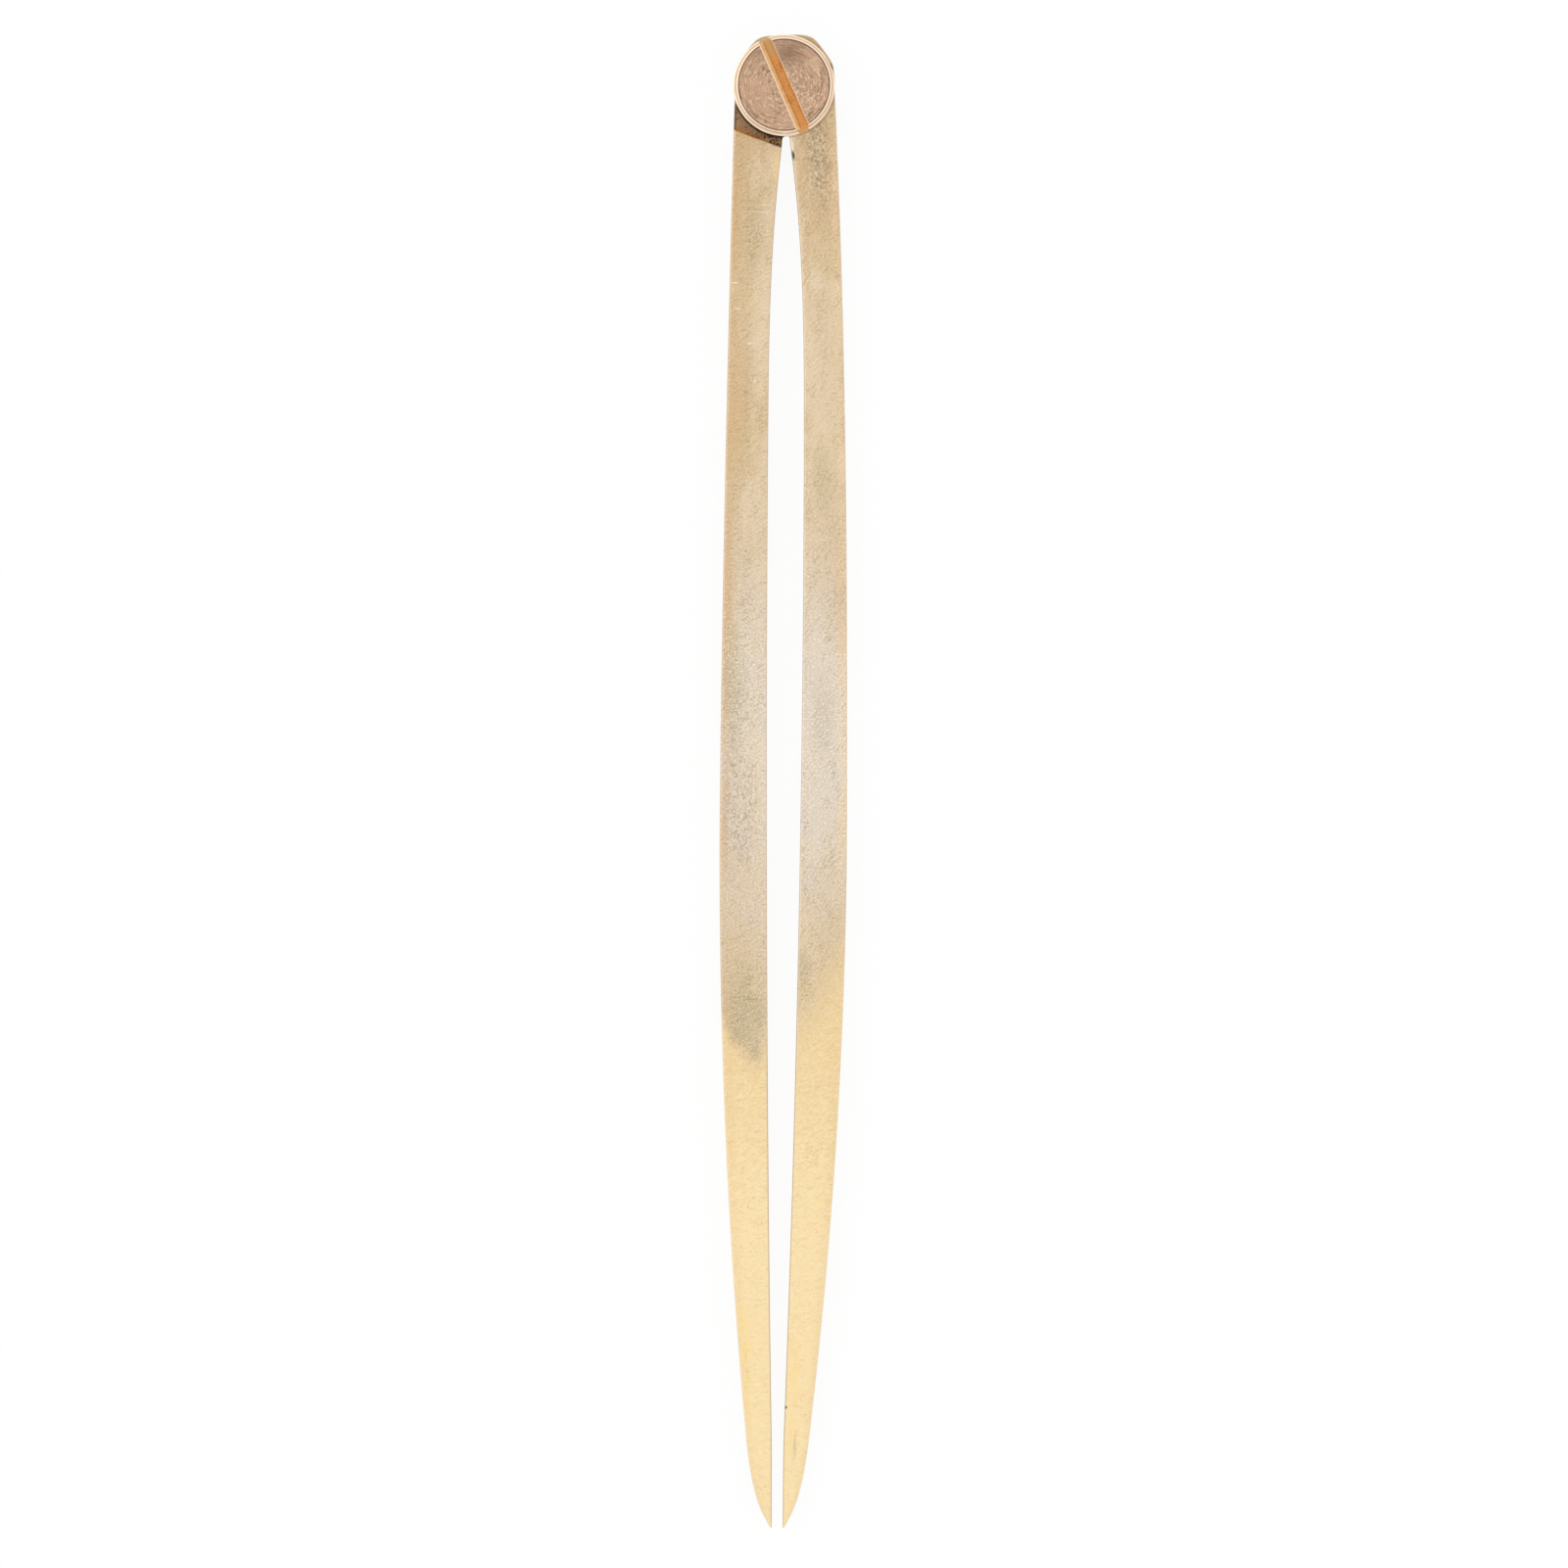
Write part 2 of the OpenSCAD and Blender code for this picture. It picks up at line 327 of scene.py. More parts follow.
def node_edges(name):
    """Both ends of every edge of a CAD node: an array over edges, ends and coordinates."""
    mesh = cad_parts[name].data
    ends = np.empty(2 * len(mesh.edges), dtype=np.int32)
    mesh.edges.foreach_get("vertices", ends)
    return node_points(name)[ends.reshape(-1, 2)]


def from_axis(points):
    """Distance of points from the pivot axis."""
    return np.hypot(points[..., 0], points[..., 1])


def cut_rows(name, height, slope):
    """Cuts a CAD node with upright planes y = height + slope * x, one for each row.

    An edge is crossed where its ends lie on opposite sides of a plane, at the share of its length that
    the two distances give. The outermost crossings are the row's low and high point in x, and the
    lowest and highest crossings its back and front.
    """
    ends = node_edges(name)
    start, run = ends[:, 0], ends[:, 1] - ends[:, 0]
    side = ends[..., 1] - height[:, None, None] - slope[:, None, None] * ends[..., 0]
    crossed = (side[..., 0] * side[..., 1] <= 0) & (side[..., 0] != side[..., 1])
    share = np.where(crossed, side[..., 0], 0) / np.where(crossed, side[..., 0] - side[..., 1], 1)
    x = start[:, 0] + share * run[:, 0]
    z = start[:, 2] + share * run[:, 2]
    low, back = (np.where(crossed, value, np.inf).min(axis=1) for value in (x, z))
    high, front = (np.where(crossed, value, -np.inf).max(axis=1) for value in (x, z))
    return low, high, back, front


def relaxed(values, passes=8):
    """The values with kinks evened out: each pass moves them halfway to their neighbours' mean."""
    values = values.copy()
    for _ in range(passes):
        values[1:-1] = (values[:-2] + 2 * values[1:-1] + values[2:]) / 4
    return values


# Making meshes


def grid_faces(rows, columns, close_rows=False):
    """Corner numbers of the quads of a grid whose columns close, and whose rows close if asked."""
    index = np.arange(rows * columns).reshape(rows, columns)
    after = np.roll(index, -1, axis=0) if close_rows else index[1:]
    before = index if close_rows else index[:-1]
    quads = (before, np.roll(before, -1, axis=1), np.roll(after, -1, axis=1), after)
    return np.stack(quads, axis=-1).reshape(-1, 4)


def make_mesh(name, grid, close_rows=False, **attributes):
    """A welded mesh of a closed grid of points: faces outwards, and named values kept on its points."""
    rows, columns = grid.shape[:2]
    mesh = bpy.data.meshes.new(name)
    mesh.from_pydata(grid.reshape(-1, 3), [], grid_faces(rows, columns, close_rows))
    for key, values in attributes.items():
        layer = mesh.attributes.new(key, "FLOAT", "POINT")
        layer.data.foreach_set("value", values.astype(np.float32).ravel())
    work = bmesh.new()
    work.from_mesh(mesh)
    weld = 0.01 * HAIR
    bmesh.ops.remove_doubles(work, verts=work.verts, dist=weld)
    bmesh.ops.dissolve_degenerate(work, edges=work.edges, dist=weld)
    bmesh.ops.recalc_face_normals(work, faces=work.faces)
    work.to_mesh(mesh)
    work.free()
    return mesh


def make_object(name, data):
    """An object at the origin that shows a mesh, a lamp or a camera."""
    piece = bpy.data.objects.new(name, data)
    bpy.context.scene.collection.objects.link(piece)
    return piece


def cut_away(piece, cutter_mesh):
    """Takes the cutter's shape out of the piece, and then removes the cutter."""
    cutter = make_object("cutter", cutter_mesh)
    cut = piece.modifiers.new("cut", "BOOLEAN")
    cut.solver = "EXACT"
    cut.object = cutter
    whole = piece.data
    depsgraph = bpy.context.evaluated_depsgraph_get()
    piece.data = bpy.data.meshes.new_from_object(piece.evaluated_get(depsgraph))
    piece.modifiers.clear()
    bpy.data.objects.remove(cutter)
    bpy.data.meshes.remove(cutter_mesh)
    bpy.data.meshes.remove(whole)


def dress(piece, material, node, body):
    """Shades the piece smooth up to its hard edges and lets it stand for its CAD node."""
    piece.data.shade_smooth()
    piece.data.set_sharp_from_angle(angle=HARD_EDGE)
    piece.data.materials.append(material)
    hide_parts(node)
    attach(piece, body)


def turned(radius, level):
    """A profile carried round the pivot axis: (r cos a, r sin a, z). The radius may change with a."""
    radius = np.reshape(radius, (len(level), -1))
    level = level[:, None] + 0 * ROUND
    return np.stack((radius * np.cos(ROUND), radius * np.sin(ROUND), level), axis=-1)


# The legs


def leg_plan(name):
    """Levels, lap, shoulder and reach of a leg's eye, measured on its CAD node, in metres.

    The eye is a plate with the levels of its bore. It is laid back to the lap, and the bar below stands
    out from it at the shoulder: the line through the lap's lowest and outermost corners off the eye.
    """
    points = node_points(name)
    away = from_axis(points)
    plate = points[away < away.min() + 10 * HAIR, 2]
    plan = SimpleNamespace(plate_back=plate.min(), plate_front=plate.max())
    plan.bar_back, plan.bar_front = points[:, 2].min(), points[:, 2].max()
    plan.in_front = plan.plate_front < plan.bar_front - HAIR
    plan.lap = plan.plate_front if plan.in_front else plan.plate_back
    plan.reach = away[points[:, 1] > 0].max()
    plan.top, plan.tip = points[:, 1].max(), points[:, 1].min()
    plan.outer = np.sign(points[:, 0].mean())
    off_eye = away > 1.05 * plan.reach
    corners = points[off_eye & (np.abs(points[:, 2] - plan.lap) < HAIR)]
    lowest = corners[corners[:, 1].argmin()]
    outermost = corners[np.abs(corners[:, 0]).argmax()]
    plan.tilt = (outermost[1] - lowest[1]) / (outermost[0] - lowest[0])
    plan.shoulder = lowest[1] - plan.tilt * lowest[0]
    return plan


def leg_rows(name, plan, settings, eye_rows=160, rise_rows=5, bar_rows=240, even=0.03, turning=24 * MM):
    """Rows across a leg from the top of its eye to its point.

    Each row is the line y = height + slope * x. Over the eye the heights fall as 1 - cos, with a small
    even share that keeps the rows apart, and the slope grows to the shoulder's. The shoulder climbs a
    quarter circle, and over the turning length below it the rows turn level, by the square of the way
    left. Points on the eye's round rim are set on its circle. The leg's point is ground from its outer
    side and both faces by the square of the way into its last stretch. The rounding grows from the
    eye's to the bar's by the fourth power of the way to the shoulder. Returns low and high points in
    x and y, back and front levels, and the rounding of each row's edges.
    """
    edge, rim = settings.edge_rounding, settings.eye_rounding
    along = np.linspace(0, 1, eye_rows)
    fall = even * along + (1 - even) * (1 - np.cos(along * pi / 2))
    eye_height = plan.top + (plan.shoulder - plan.top) * fall
    turn = np.linspace(0, pi / 2, rise_rows)
    rise_height = plan.shoulder - edge * (1 - np.cos(turn))
    bar_height = np.linspace(plan.shoulder - edge, plan.tip + 5 * HAIR, bar_rows)[1:]
    way_left = np.clip(1 - (plan.shoulder - bar_height) / turning, 0, 1)
    height = np.concatenate((eye_height, rise_height, bar_height))
    slope = plan.tilt * np.concatenate((along, 1 + 0 * turn, way_left**2))
    low, high, back, front = cut_rows(name, height, slope)
    low[0] = high[0] = (low[1] + high[1]) / 2
    blunt = np.clip(1 - (height - plan.tip) / settings.point, 0, 1) ** 2
    ground = settings.point_side * blunt * (high - low)
    low, high = (low + ground, high) if plan.outer < 0 else (low, high - ground)
    thinned = settings.point_faces * blunt * (front - back)
    back, front = back + thinned, front - thinned

    eye = slice(0, eye_rows)
    rise = slice(eye_rows, eye_rows + rise_rows)
    bar = slice(rise.stop - 1, None)
    for values in (low, high, back, front):
        values[bar] = relaxed(values[bar])
    back[eye], front[eye] = plan.plate_back, plan.plate_front
    climb = edge * (1 - np.sin(turn))
    back[rise] = plan.bar_back + (0 if plan.in_front else climb)
    front[rise] = plan.bar_front - (climb if plan.in_front else 0)

    ends = [np.stack((x, height + slope * x), axis=-1) for x in (low, high)]
    for end in ends:
        away = from_axis(end)[:, None]
        on_rim = np.abs(away - plan.reach) < 3 * HAIR
        end[:] = np.where(on_rim, end * plan.reach / away, end)
    thin = np.minimum(np.hypot(*(ends[1] - ends[0]).T), front - back)
    rounding = np.minimum(edge, ROUNDEST * thin)
    rounding[eye] = rim + (edge - rim) * along**4
    return ends[0], ends[1], back, front, rounding


def leg_surface(low, high, back, front, rounding, arc_steps=6, face_steps=10):
    """A rounded rectangle carried from row to row.

    Along an edge the corner is a quarter circle: at angle a it stands r (1 - cos a) inside the outline,
    square to it, and r (1 - sin a) below the face. Between the two edges the face runs straight, with
    its points drawn towards the edges as (1 - cos) / 2. Returns the grid, how far across the leg each
    point lies from -1 to 1, and the wear, which is sin 2a on the corners and 0 on faces and sides.
    """
    outline = np.concatenate((low[::-1], high[1:]))
    heading = np.gradient(outline, axis=0)
    normal = np.stack((-heading[:, 1], heading[:, 0]), axis=-1)
    normal /= np.linalg.norm(normal, axis=1, keepdims=True)
    low_normal, high_normal = normal[: len(low)][::-1], normal[len(low) - 1 :]
    turn = np.linspace(0, pi / 2, arc_steps)
    inset = rounding[:, None] * (1 - np.cos(turn))
    drop = rounding[:, None] * (1 - np.sin(turn))
    over = -np.cos(np.linspace(0, pi, face_steps + 1)[1:-1])

    def edge(side, side_normal, level):
        flat = side[:, None] - side_normal[:, None] * inset[..., None]
        return np.concatenate((flat, level[..., None]), axis=-1)

    def face(start, end):
        share = (1 + over[:, None]) / 2
        return start[:, None] + share * (end - start)[:, None]

    sides = ((low, low_normal), (high, high_normal))
    low_front, high_front = (edge(*side, front[:, None] - drop) for side in sides)
    low_back, high_back = (edge(*side, back[:, None] + drop) for side in sides)
    ring = (
        low_front,
        face(low_front[:, -1], high_front[:, -1]),
        high_front[:, ::-1],
        high_back,
        face(high_back[:, -1], low_back[:, -1]),
        low_back[:, ::-1],
    )
    grid = np.concatenate(ring, axis=1)
    middle = grid[-1].mean(axis=0) + 0 * grid[-1]
    grid = np.concatenate((grid, middle[None]))
    flank, corner = np.ones(arc_steps), np.sin(2 * turn)
    across = np.concatenate((-flank, over, flank, flank, -over, -flank))
    worn = np.concatenate((corner, 0 * over, corner, corner, 0 * over, corner))
    spread = np.ones((len(grid), 1))
    return grid, spread * across, spread * worn


def bore_cutter(back, front, chamfer):
    """A drill of the screw's bore through an eye, flared by the chamfer at both faces."""
    bore = from_axis(node_points("friction_washer")).min()
    past = 4 * chamfer
    radius = np.array((0, bore + chamfer + past, bore))
    depth = np.array((-past, -past, chamfer))
    level = np.concatenate((back + depth, front - depth[::-1]))
    return make_mesh("cutter", turned(np.concatenate((radius, radius[::-1])), level))


# The pivot screw


def screw_sizes():
    """Sizes of the pivot screw, measured on its CAD node, in metres.

    The slot is measured along its direction and across it, to the right of that direction. Its floor
    lies lowest in the head, its edges are the face's corners nearest to the middle on both sides, and
    the foot of the bevelled edge is the highest corner above the floor's left edge.
    """
    points = node_points("pivot_screw")
    away, level = from_axis(points), points[:, 2]
    size = SimpleNamespace(tail=level.min(), top=level.max(), radius=away.max())
    size.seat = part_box("spring_washer")[1].z
    size.rim_top = level[away > size.radius - HAIR].max()
    size.face = size.radius - (size.top - size.rim_top)
    under = level < size.seat - 10 * HAIR
    size.shank = away[under].max()
    in_groove = under & (away > size.shank / 2) & (away < size.shank - 5 * HAIR)
    size.thread_depth = size.shank - away[in_groove].min()
    grooves = np.unique(np.round(level[in_groove] / HAIR)) * HAIR
    size.pitch = np.ptp(grooves) / (len(grooves) - 1)
    size.thread_end = grooves.max() + size.pitch / 2
    size.floor = level[level > size.seat + 10 * HAIR].min()
    on_floor = np.abs(level - size.floor) < HAIR
    flat = points[:, :2]
    direction = np.linalg.svd(flat[on_floor] - flat[on_floor].mean(axis=0))[2][0]
    size.direction = direction * np.sign(direction[1])
    size.normal = np.array((size.direction[1], -size.direction[0]))
    across = flat @ size.normal
    size.floor_left, size.floor_right = across[on_floor].min(), across[on_floor].max()
    on_face = across[level > size.top - HAIR]
    size.left, size.right = on_face[on_face < 0].max(), on_face[on_face > 0].min()
    above_left = (np.abs(across - size.floor_left) < HAIR) & (level > size.floor + HAIR)
    size.bevel_foot = level[above_left].max()
    return size


def screw_surface(size, corner, thread_rows=48, face_rows=24, arc_steps=7):
    """The screw's profile carried round the axis, from the middle of its end to the middle of its face.

    On the threaded stretch the radius falls by the thread's depth times |2 f - 1|, where f is the share
    of a turn that level / pitch - angle / 2 pi has run. The groove fades out over the last half pitch,
    and the end is bevelled by the corner.
    """
    turn = np.linspace(0, pi / 2, arc_steps)
    thread_level = np.linspace(size.tail, size.thread_end, thread_rows)
    bevel = size.radius - size.face
    profile = (
        (0, size.tail),
        (size.shank, thread_level),
        (size.shank, size.seat),
        (size.radius - corner * (1 - np.sin(turn)), size.seat + corner * (1 - np.cos(turn))),
        (size.face + bevel * np.cos(turn), size.rim_top + bevel * np.sin(turn)),
        (np.linspace(size.face, 0, face_rows)[1:], size.top),
    )
    stretches = [np.broadcast_arrays(*np.atleast_1d(*pair)) for pair in profile]
    radius, level = (np.concatenate(values) for values in zip(*stretches))
    run = (thread_level[:, None] - size.tail) / size.pitch - ROUND / (2 * pi)
    fade = np.clip((size.thread_end - thread_level) / (size.pitch / 2), 0, 1)[:, None]
    end_bevel = np.clip(corner - (thread_level - size.tail), 0, corner)[:, None]
    groove = np.maximum(size.thread_depth * np.abs(2 * (run % 1) - 1) * fade, end_bevel)
    radius = radius[:, None] + 0 * ROUND
    radius[1 : 1 + thread_rows] -= groove
    return turned(radius, level)


def slot_cutter(size, lip):
    """A saw of the slot's section carried along it: a bevelled left edge, and lips on both edges."""
    lean = (size.top - size.bevel_foot) / (size.floor_left - size.left)
    clear, brink = size.top + size.radius, size.top + 0.1 * HAIR
    section = np.array(
        (
            (size.left - lip, clear),
            (size.left - lip, brink),
            (size.left + lip, size.top - lip * lean),
            (size.floor_left, size.bevel_foot),
            (size.floor_left, size.floor),
            (size.floor_right, size.floor),
            (size.right, size.top - lip),
            (size.right + lip, brink),
            (size.right + lip, clear),
        )
    )
    reach = np.array((-1.5, 1.5)) * size.radius
    flat = section[:, 0, None] * size.normal + reach[:, None, None] * size.direction
    level = np.broadcast_to(section[:, 1, None], (2, len(section), 1))
    walls = np.concatenate((flat, level), axis=-1)
    ends = walls.mean(axis=1, keepdims=True) + 0 * walls
    return make_mesh("cutter", np.concatenate((ends[:1], walls, ends[1:])))


# The washers


def washer_surface(name, rounding, arc_steps=6):
    """A flat or dished ring with rounded edges: a closed profile of four quarter circles, turned."""
    points = node_points(name)
    away = from_axis(points)
    inner, outer = away.min(), away.max()
    bore_levels = points[away < inner + HAIR, 2]
    rim_levels = points[away > outer - HAIR, 2]
    corner = min(rounding, ROUNDEST * np.ptp(rim_levels))
    turn = np.linspace(0, pi / 2, arc_steps)
    inset, rise = corner * (1 - np.cos(turn)), corner * (1 - np.sin(turn))
    low_rim, low_bore = rim_levels.min() + rise, bore_levels.min() + rise
    high_rim, high_bore = rim_levels.max() - rise, bore_levels.max() - rise
    radius = np.concatenate((outer - inset, inner + inset[::-1], inner + inset, outer - inset[::-1]))
    level = np.concatenate((low_rim, low_bore[::-1], high_bore, high_rim[::-1]))
    return turned(radius, level)


# Finishes


def math_node(operation, reflected=False):
    """A method that adds a Math node of a wire and another value, in this order or reflected."""

    def method(self, *others):
        values = (*others, self) if reflected else (self, *others)
        return self.nodes.node("ShaderNodeMath", {"operation": operation}, dict(enumerate(values)))

    return method


class Wire:
    """One value or colour of a node tree. Arithmetic on it adds Math nodes."""

    def __init__(self, nodes, socket):
        self.nodes = nodes
        self.socket = socket

    __add__ = __radd__ = math_node("ADD")
    __sub__ = math_node("SUBTRACT")
    __rsub__ = math_node("SUBTRACT", reflected=True)
    __mul__ = __rmul__ = math_node("MULTIPLY")
    __truediv__ = math_node("DIVIDE")
    __rtruediv__ = math_node("DIVIDE", reflected=True)
    __pow__ = math_node("POWER")
    __rpow__ = math_node("POWER", reflected=True)
    __abs__ = math_node("ABSOLUTE")

    def ramp(self, start, end):
        """0 up to start and 1 from end on, or the other way round, with a smooth way between."""
        inputs = {"Value": self, "From Min": start, "From Max": end}
        return self.nodes.node("ShaderNodeMapRange", {"interpolation_type": "SMOOTHSTEP"}, inputs)

    def bell(self, centre, reach):
        """1 at the centre and 0 beyond the reach on both sides."""
        return abs(self - centre).ramp(reach, 0)


class Nodes:
    """A node tree that is written as expressions."""

    def __init__(self, tree):
        self.tree = tree
        tree.nodes.clear()

    def node(self, kind, settings=None, inputs=None, output=0):
        """Adds a node, makes its settings, fills or links its inputs and returns an output, if any."""
        made = self.tree.nodes.new(kind)
        for name, value in (settings or {}).items():
            setattr(made, name, value)
        for name, value in (inputs or {}).items():
            if isinstance(value, Wire):
                self.tree.links.new(value.socket, made.inputs[name])
            else:
                made.inputs[name].default_value = value
        return Wire(self, made.outputs[output]) if made.outputs else None


class Coat:
    """A colour of a node tree that is built up in layers, out of the colours of some settings."""

    def __init__(self, nodes, settings, kind):
        self.nodes = nodes
        self.settings = settings
        self.colour = (*getattr(settings, kind), 1)

    def paint(self, kind, share, strength=None):
        """Lays a colour, or another coat, over the layers so far by a share and a strength."""
        over = kind.colour if isinstance(kind, Coat) else (*getattr(self.settings, kind), 1)
        cover = share if strength is None else share * strength
        # A colour mix has its share at socket 0, its colours at 6 and 7, and its result at 2
        inputs = {0: cover, 6: self.colour, 7: over}
        self.colour = self.nodes.node("ShaderNodeMix", {"data_type": "RGBA"}, inputs, output=2)


class Finish(Nodes):
    """A material whose nodes read the object's own coordinates, in millimetres."""

    def __init__(self, name):
        self.material = bpy.data.materials.new(name)
        self.material.use_nodes = True
        super().__init__(self.material.node_tree)
        own = self.node("ShaderNodeTexCoord", output="Object")
        place = [self.node("ShaderNodeSeparateXYZ", inputs={0: own}, output=axis) for axis in "XYZ"]
        self.x, self.y, self.z = (axis * (1 / MM) for axis in place)
        self.radius = (self.x * self.x + self.y * self.y) ** 0.5

    def noise(self, cell, detail=2, roughness=0.5, distortion=0):
        """Soft noise around one half, whose cells have one length or three, along x, y and z."""
        lengths = zip((self.x, self.y, self.z), np.broadcast_to(cell, 3))
        place = [axis / length for axis, length in lengths]
        return self.noise_at(place, detail, roughness, distortion)

    def strokes(self, turn, gap, length, distortion=0):
        """Noise drawn out into strokes, a gap apart, turned by an angle from straight across."""
        along = self.x * cos(turn) + self.y * sin(turn)
        aside = self.y * cos(turn) - self.x * sin(turn)
        place = (along / length, aside / gap, self.z / length)
        return self.noise_at(place, detail=2, roughness=0.6, distortion=distortion)

    def arc_noise(self, around, apart, detail=2, roughness=0.5):
        """Noise in arcs round the pivot axis: so many cells to the radian, and rings so far apart."""
        place = [axis / self.radius * around for axis in (self.x, self.y)]
        return self.noise_at((*place, self.radius / apart), detail, roughness, distortion=0)

    def noise_at(self, place, detail, roughness, distortion):
        """Noise with one cell to each unit of the place."""
        inputs = {
            "Vector": self.node("ShaderNodeCombineXYZ", inputs=dict(enumerate(place))),
            "Scale": 1,
            "Detail": detail,
            "Roughness": roughness,
            "Distortion": distortion,
        }
        return self.node("ShaderNodeTexNoise", inputs=inputs, output="Fac")

    def on_slot(self, size):
        """How far a place lies along the screw's slot and across it."""
        return [self.x * way[0] + self.y * way[1] for way in (size.direction, size.normal)]

    def value(self, name):
        """A value kept on the mesh's points."""
        return self.node("ShaderNodeAttribute", {"attribute_name": name}, output="Fac")

    def metal(self, coat, roughness, relief, strength, depth, metallic=1):
        """Ends the finish in a metal with a coat's colour and a relief of so many millimetres."""
        bump = {"Height": relief, "Strength": strength, "Distance": depth * MM}
        inputs = {
            "Base Color": coat.colour,
            "Roughness": roughness,
            "Metallic": metallic,
            "Normal": self.node("ShaderNodeBump", inputs=bump),
        }
        metal = self.node("ShaderNodeBsdfPrincipled", inputs=inputs)
        self.node("ShaderNodeOutputMaterial", inputs={"Surface": metal})
        return self.material


def in_mm(*lengths):
    """Lengths in millimetres, as the finishes use them."""
    return [length / MM for length in lengths]


def leg_finish(name, settings, plan, eye, wear):
    """Handled brass: tan above, silvery in the middle, and a painted sheen below where the tarnish
    ends.

    The tarnish has olive, lilac and pale patches, dots, specks and slanting scratches, and a warm film
    along its outer edge. It ends in a curve: furthest down at one place across the leg, and less by the
    bend times the square of the way from there. Below it the brass is painted brighter and yellower as
    a sheen, with ripples left by the file and dark ticks. Dirt fills the lap round the other eye, with
    painted shadow in the black line round that eye's foot, and painted shade greys the inner edges of
    the lower legs. A line along the shoulder's edge is orange film on its outer half and a painted
    highlight on its inner half.
    """
    brass = Finish(name)
    down = brass.y * (MM / plan.tip)
    outward = brass.value("across") * plan.outer
    edge = brass.value("edge")
    below_eye = down.ramp(*EYE_END)
    grain = brass.noise(cell=0.26, roughness=0.7)
    scratches = brass.strokes(turn=wear.slant, gap=0.24, length=1.2)
    ripple = brass.strokes(turn=radians(15), gap=0.3, length=0.6, distortion=1)
    filing = brass.strokes(turn=radians(84), gap=0.2, length=3)
    patch = brass.noise(cell=(2.4, 6, 2.4), detail=3, roughness=0.6)
    cloud = brass.noise(cell=(1.7, 2.9, 1.7), detail=3, roughness=0.6)
    mottle = brass.noise(cell=(0.34, 0.48, 0.34), detail=3, roughness=0.65, distortion=1)
    rough = grain + 0.9 * (scratches - 0.5)

    def spot(along, across, length, width, fray):
        """An oval spot: 1 within and 0 outside, with an edge that the clouds fray."""
        over, aside = (down - along) / length, (outward - across) / width
        return ((over * over + aside * aside) ** 0.5 + fray * (cloud - 0.5)).ramp(1, 0.2)

    def spots(places, fray):
        """The sum of oval spots, each as strong as its last number says."""
        return sum(strength * spot(*place, fray) for *place, strength in places)

    # Tarnished brass of the upper legs
    silver = (down + 0.08 * (patch - 0.5)).bell(*SILVERY_STRETCH)
    coat = Coat(brass, settings, "handled")
    coat.paint("silvery", silver)
    coat.paint("tan", down.ramp(*TAN_END), strength=0.8)
    coat.paint("olive", cloud.ramp(*UPPER), strength=0.5 - 0.35 * silver)
    coat.paint("lilac", patch.ramp(*LOWER) * silver, strength=0.7)
    paler = (patch - 0.2 * outward * below_eye).ramp(*UPPER)
    coat.paint("cream", paler, strength=0.5 - 0.25 * silver)
    film_band = outward.ramp(0.45, 0.8) * down.ramp(*FILM_END) * below_eye
    film_patches = 0.35 + 0.65 * patch.ramp(0.4, 0.65)
    filmed = film_band * film_patches * (0.2 + rough)
    coat.paint(wear.film, filmed, settings.film_strength)
    patched = 0
    for kind, *place, strength in wear.patches:
        shown = spot(*place, fray=1.2) * strength
        coat.paint(kind, shown)
        patched = patched + shown
    soiled = spots(wear.stains, fray=1.6)
    coat.paint("stain", soiled * (0.4 + rough))
    clouded = 0.5 + cloud.ramp(0.35, 0.65)
    dotted = clouded * (1 - 0.6 * patched) * settings.dots + 0.3 * soiled
    coat.paint("scuff", rough.ramp(*LOWER) * dotted)
    speckled = 0.35 + 0.65 * silver + 0.5 * soiled
    coat.paint("bright", grain.ramp(*UPPER) * speckled, settings.specks)
    mottled = spots(wear.mottles, fray=1.2)
    coat.paint("scuff", (0.2 + mottle.ramp(*LOWER)) * mottled, strength=0.7)
    coat.paint("bright", mottle.ramp(*UPPER) * mottled, strength=0.45)

    # Brass of the lower legs, untarnished and painted brighter and yellower as a sheen
    lower = Coat(brass, settings, "clean")
    lower.paint("gold", 0.8 * down.ramp(*GOLD_END) + 0.4 * outward.ramp(0.4, 1))
    rippled = settings.ripples * (1 - 0.35 * down.ramp(*RIPPLES_FADE))
    lower.paint("film", ripple.ramp(*LOWER) * rippled)
    lower.paint("bright", ripple.ramp(*UPPER) * rippled)
    ticked = grain.ramp(0.4, 0.3) * cloud.ramp(0.48, 0.6)
    lower.paint("scuff", ticked, settings.ticks)
    lowest, middle, bend, soft = wear.tarnish_sheen_border
    way = outward - middle
    border = down + bend * way * way + 0.03 * (cloud - 0.5) + 0.015 * (rough - 0.5)
    # Below the border the tarnish gives way to the painted sheen
    clean = border.ramp(lowest - soft, lowest + soft)
    coat.paint(lower, clean)

    # Single marks, rubbed edges, and painted shade along the inner edges of the lower legs
    filed = filing.ramp(0.45, 0.65)
    for kind, *place, strength in wear.strokes:
        coat.paint(kind, spot(*place, fray=1) * filed, strength)
    for kind, *place, strength in wear.nicks:
        coat.paint(kind, spot(*place, fray=0), strength)
    coat.paint("worn", edge, settings.wear)
    coat.paint("shade", edge * outward.ramp(-0.9, -1) * clean, strength=0.45)

    # Dirt in the lap and along the shoulder, placed in millimetres, with painted shadow round the eye's
    # foot and a painted highlight on the shoulder's edge
    shoulder, lap = in_mm(plan.shoulder, plan.lap)
    over_shoulder = brass.y - plan.tilt * brass.x - shoulder
    over_lap = brass.z - lap if plan.in_front else lap - brass.z
